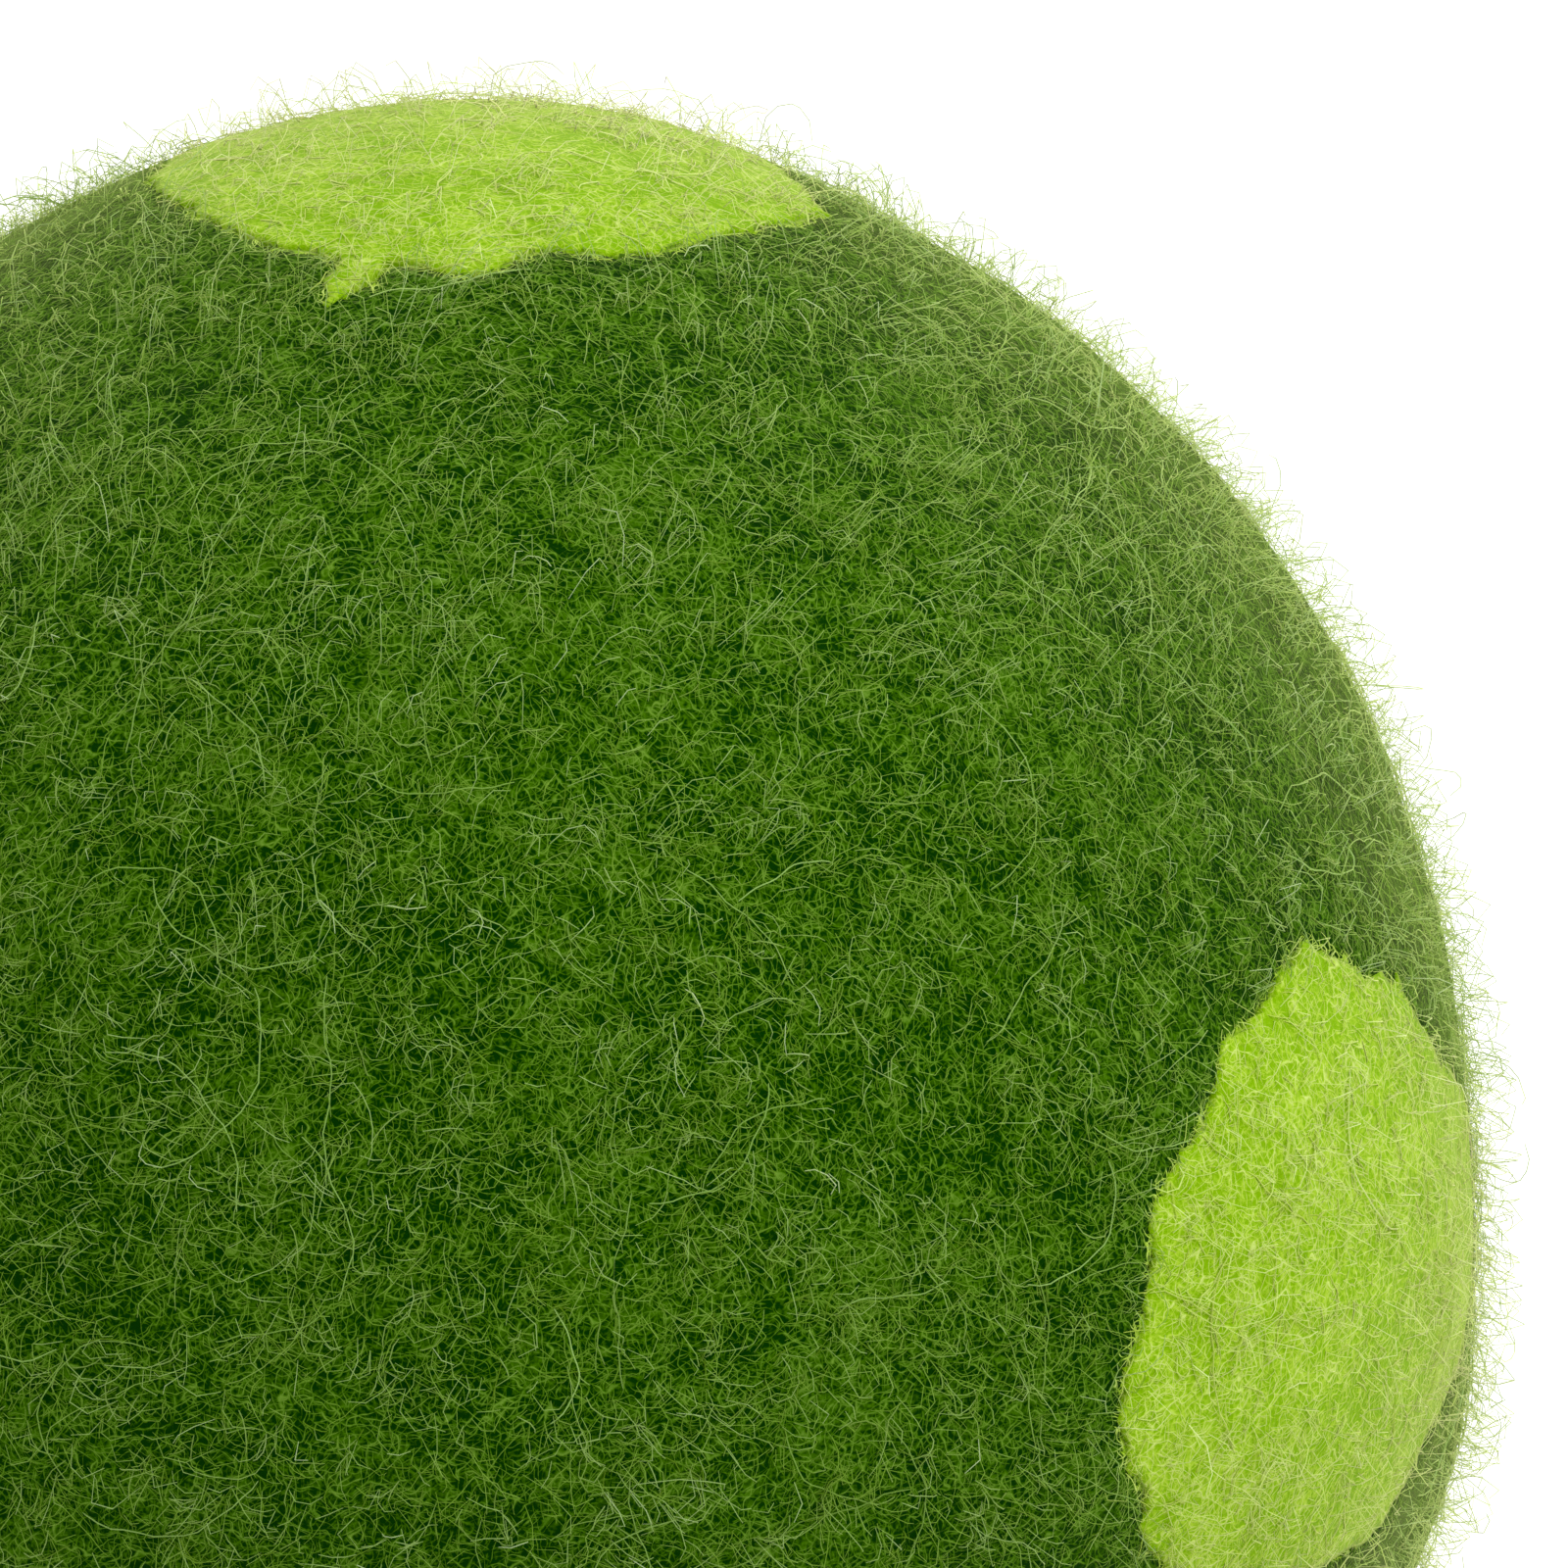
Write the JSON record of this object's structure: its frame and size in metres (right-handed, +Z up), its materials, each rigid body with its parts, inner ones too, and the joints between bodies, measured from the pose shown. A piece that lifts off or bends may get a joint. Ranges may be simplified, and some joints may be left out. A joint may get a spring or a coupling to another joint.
{
  "type": "felt rattle ball",
  "caption": "Round felted wool baby rattle ball, dark green with slightly domed hand-cut lime green spots, holding a snap capsule of loose beads that rattle when shaken.",
  "frame": {"origin": "on the table under the middle of the ball, at the pressed-flat patch of the bottom spot", "axes": "+Z up through the middle of the ball to its top spot, -Y towards the picture's viewer, +X to the right in the picture"},
  "size_m": [0.0866, 0.0866, 0.0895],
  "materials": {
    "dark_green_felt": "wet-felted wool, matted curly fibres with a short fuzz",
    "lime_green_felt": "needle-felted wool, matted curly fibres with a short fuzz",
    "undyed_wool": "carded wool, wound and lightly matted",
    "capsule_plastic": "moulded, satin",
    "bead_steel": "tumbled steel shot"
  },
  "bodies": {
    "ball": {"felt_cover": "dark_green_felt", "spot_top": "lime_green_felt", "spot_bottom": "lime_green_felt", "spot_front_right": "lime_green_felt", "spot_back_right": "lime_green_felt", "spot_back_left": "lime_green_felt", "spot_front_left": "lime_green_felt", "wool_core": "undyed_wool", "capsule_base": "capsule_plastic", "capsule_cap": "capsule_plastic"},
    "bead_01": {"bead_01": "bead_steel"},
    "bead_02": {"bead_02": "bead_steel"},
    "bead_03": {"bead_03": "bead_steel"},
    "bead_04": {"bead_04": "bead_steel"},
    "bead_05": {"bead_05": "bead_steel"},
    "bead_06": {"bead_06": "bead_steel"},
    "bead_07": {"bead_07": "bead_steel"},
    "bead_08": {"bead_08": "bead_steel"},
    "bead_09": {"bead_09": "bead_steel"},
    "bead_10": {"bead_10": "bead_steel"},
    "bead_11": {"bead_11": "bead_steel"},
    "bead_12": {"bead_12": "bead_steel"}
  },
  "joints": [
    {"name": "bead_01_hop", "type": "slide", "parent": "ball", "child": "bead_01", "axis": [0, 0, 1], "range_m": [0, 0.02433]},
    {"name": "bead_02_hop", "type": "slide", "parent": "ball", "child": "bead_02", "axis": [0, 0, 1], "range_m": [0, 0.02588]},
    {"name": "bead_03_hop", "type": "slide", "parent": "ball", "child": "bead_03", "axis": [0, 0, 1], "range_m": [0, 0.02433]},
    {"name": "bead_04_hop", "type": "slide", "parent": "ball", "child": "bead_04", "axis": [0, 0, 1], "range_m": [0, 0.02433]},
    {"name": "bead_05_hop", "type": "slide", "parent": "ball", "child": "bead_05", "axis": [0, 0, 1], "range_m": [0, 0.02733]},
    {"name": "bead_06_hop", "type": "slide", "parent": "ball", "child": "bead_06", "axis": [0, 0, 1], "range_m": [0, 0.02733]},
    {"name": "bead_07_hop", "type": "slide", "parent": "ball", "child": "bead_07", "axis": [0, 0, 1], "range_m": [0, 0.02433]},
    {"name": "bead_08_hop", "type": "slide", "parent": "ball", "child": "bead_08", "axis": [0, 0, 1], "range_m": [0, 0.02588]},
    {"name": "bead_09_hop", "type": "slide", "parent": "ball", "child": "bead_09", "axis": [0, 0, 1], "range_m": [0, 0.02733]},
    {"name": "bead_10_hop", "type": "slide", "parent": "ball", "child": "bead_10", "axis": [0, 0, 1], "range_m": [0, 0.02588]},
    {"name": "bead_11_hop", "type": "slide", "parent": "ball", "child": "bead_11", "axis": [0, 0, 1], "range_m": [0, 0.02433]},
    {"name": "bead_12_hop", "type": "slide", "parent": "ball", "child": "bead_12", "axis": [0, 0, 1], "range_m": [0, 0.02433]}
  ]
}
